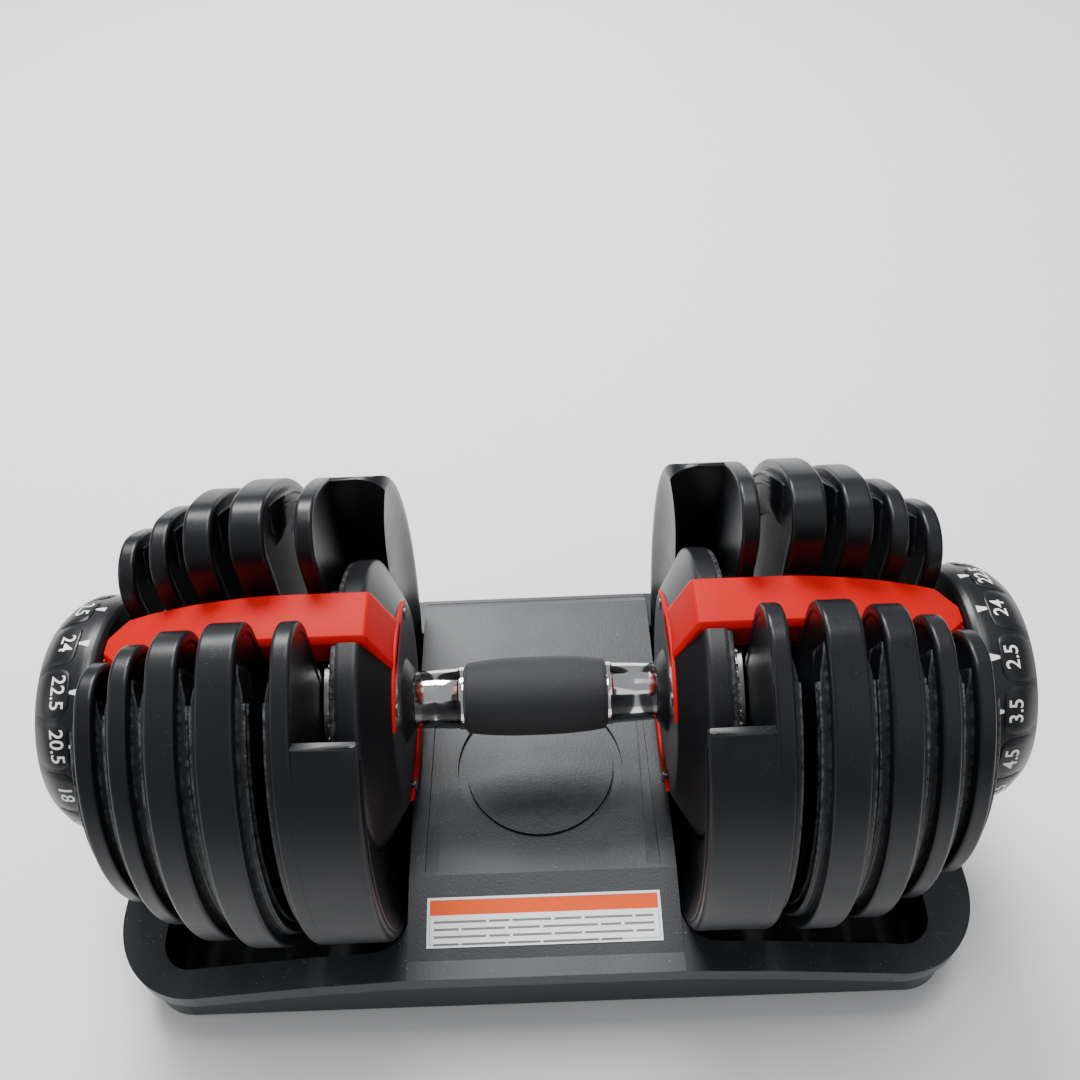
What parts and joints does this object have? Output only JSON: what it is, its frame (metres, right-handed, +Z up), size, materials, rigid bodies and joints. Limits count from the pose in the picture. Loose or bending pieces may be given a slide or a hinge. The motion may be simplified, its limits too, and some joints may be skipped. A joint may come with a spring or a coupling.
{
  "type": "adjustable dumbbell",
  "caption": "Dial-selected adjustable dumbbell in its storage tray: a grip between stacks of slotted weight plates, a red bridge over each stack and a weight dial at each end.",
  "frame": {"origin": "on the floor under the middle of the handle, at the middle of the tray's foot plane", "axes": "+X along the handle to the right-hand dial, -Y towards the user and the notice label, +Z up"},
  "size_m": [0.409, 0.206, 0.2158],
  "materials": {
    "plate_black": "satin black moulded skin over iron",
    "red_plastic": "satin red plastic",
    "black_plastic": "satin black plastic",
    "dial_plastic": "satin black plastic with white numbers",
    "steel": "plain machined steel",
    "zinc_steel": "bright zinc plated steel",
    "chrome": "polished chrome",
    "grip_rubber": "matt charcoal rubber",
    "tray_plastic": "fine grained black plastic",
    "foot_rubber": "soft black rubber",
    "label_film": "white printed film"
  },
  "bodies": {
    "tray": {"tray": "tray_plastic", "feet": "foot_rubber", "notice_label": "label_film"},
    "handle": {"handle_axle": "steel", "handle_tube": "chrome", "handle_grip": "grip_rubber", "inner_cover_left": "black_plastic", "cover_backplate_left": "black_plastic", "lower_trim_left": "red_plastic", "bridge_left": "red_plastic", "cover_screws_left": "steel", "lock_spring_left": "steel", "end_washer_left": "steel", "end_bolt_left": "steel", "inner_cover_right": "black_plastic", "cover_backplate_right": "black_plastic", "lower_trim_right": "red_plastic", "bridge_right": "red_plastic", "cover_screws_right": "steel", "lock_spring_right": "steel", "end_washer_right": "steel", "end_bolt_right": "steel"},
    "selector_left": {"dial_left": "dial_plastic", "dial_cap_left": "dial_plastic", "index_disc_left": "zinc_steel", "selector_sleeve_left": "zinc_steel", "selector_disc_1_left": "zinc_steel", "selector_disc_2_left": "zinc_steel", "selector_disc_3_left": "zinc_steel", "selector_disc_4_left": "zinc_steel", "selector_disc_5_left": "zinc_steel"},
    "lock_left": {"lock_pin_left": "steel"},
    "plate_1_left": {"plate_1_left": "plate_black"},
    "plate_2_left": {"plate_2_left": "plate_black"},
    "plate_3_left": {"plate_3_left": "plate_black"},
    "plate_4_left": {"plate_4_left": "plate_black"},
    "plate_5_left": {"plate_5_left": "plate_black"},
    "selector_right": {"dial_right": "dial_plastic", "dial_cap_right": "dial_plastic", "index_disc_right": "zinc_steel", "selector_sleeve_right": "zinc_steel", "selector_disc_1_right": "zinc_steel", "selector_disc_2_right": "zinc_steel", "selector_disc_3_right": "zinc_steel", "selector_disc_4_right": "zinc_steel", "selector_disc_5_right": "zinc_steel"},
    "lock_right": {"lock_pin_right": "steel"},
    "plate_1_right": {"plate_1_right": "plate_black"},
    "plate_2_right": {"plate_2_right": "plate_black"},
    "plate_3_right": {"plate_3_right": "plate_black"},
    "plate_4_right": {"plate_4_right": "plate_black"},
    "plate_5_right": {"plate_5_right": "plate_black"}
  },
  "joints": [
    {"name": "handle_lift", "type": "slide", "parent": "tray", "child": "handle", "axis": [0, 0, 1], "range_m": [0, 0.25]},
    {"name": "dial_left_turn", "type": "hinge", "parent": "handle", "child": "selector_left", "pos_m": [-0.18, 0, 0.121], "axis": [1, 0, 0], "continuous": true},
    {"name": "lock_left_slide", "type": "slide", "parent": "handle", "child": "lock_left", "axis": [1, 0, 0], "range_m": [0, 0.0021]},
    {"name": "plate_1_left_lift", "type": "slide", "parent": "tray", "child": "plate_1_left", "axis": [0, 0, 1], "range_m": [0, 0.25]},
    {"name": "plate_2_left_lift", "type": "slide", "parent": "tray", "child": "plate_2_left", "axis": [0, 0, 1], "range_m": [0, 0.25]},
    {"name": "plate_3_left_lift", "type": "slide", "parent": "tray", "child": "plate_3_left", "axis": [0, 0, 1], "range_m": [0, 0.25]},
    {"name": "plate_4_left_lift", "type": "slide", "parent": "tray", "child": "plate_4_left", "axis": [0, 0, 1], "range_m": [0, 0.25]},
    {"name": "plate_5_left_lift", "type": "slide", "parent": "tray", "child": "plate_5_left", "axis": [0, 0, 1], "range_m": [0, 0.25]},
    {"name": "dial_right_turn", "type": "hinge", "parent": "handle", "child": "selector_right", "pos_m": [0.18, 0, 0.121], "axis": [1, 0, 0], "continuous": true},
    {"name": "lock_right_slide", "type": "slide", "parent": "handle", "child": "lock_right", "axis": [-1, 0, 0], "range_m": [0, 0.0021]},
    {"name": "plate_1_right_lift", "type": "slide", "parent": "tray", "child": "plate_1_right", "axis": [0, 0, 1], "range_m": [0, 0.25]},
    {"name": "plate_2_right_lift", "type": "slide", "parent": "tray", "child": "plate_2_right", "axis": [0, 0, 1], "range_m": [0, 0.25]},
    {"name": "plate_3_right_lift", "type": "slide", "parent": "tray", "child": "plate_3_right", "axis": [0, 0, 1], "range_m": [0, 0.25]},
    {"name": "plate_4_right_lift", "type": "slide", "parent": "tray", "child": "plate_4_right", "axis": [0, 0, 1], "range_m": [0, 0.25]},
    {"name": "plate_5_right_lift", "type": "slide", "parent": "tray", "child": "plate_5_right", "axis": [0, 0, 1], "range_m": [0, 0.25]}
  ],
  "couplings": [
    {"joint": "lock_left_slide", "follows": "handle_lift", "ratio": 0.0084},
    {"joint": "plate_1_left_lift", "follows": "handle_lift", "ratio": 1},
    {"joint": "plate_2_left_lift", "follows": "handle_lift", "ratio": 1},
    {"joint": "plate_3_left_lift", "follows": "handle_lift", "ratio": 1},
    {"joint": "plate_4_left_lift", "follows": "handle_lift", "ratio": 1},
    {"joint": "plate_5_left_lift", "follows": "handle_lift", "ratio": 1},
    {"joint": "lock_right_slide", "follows": "handle_lift", "ratio": 0.0084},
    {"joint": "plate_1_right_lift", "follows": "handle_lift", "ratio": 1},
    {"joint": "plate_2_right_lift", "follows": "handle_lift", "ratio": 1},
    {"joint": "plate_3_right_lift", "follows": "handle_lift", "ratio": 1},
    {"joint": "plate_4_right_lift", "follows": "handle_lift", "ratio": 1},
    {"joint": "plate_5_right_lift", "follows": "handle_lift", "ratio": 1}
  ]
}
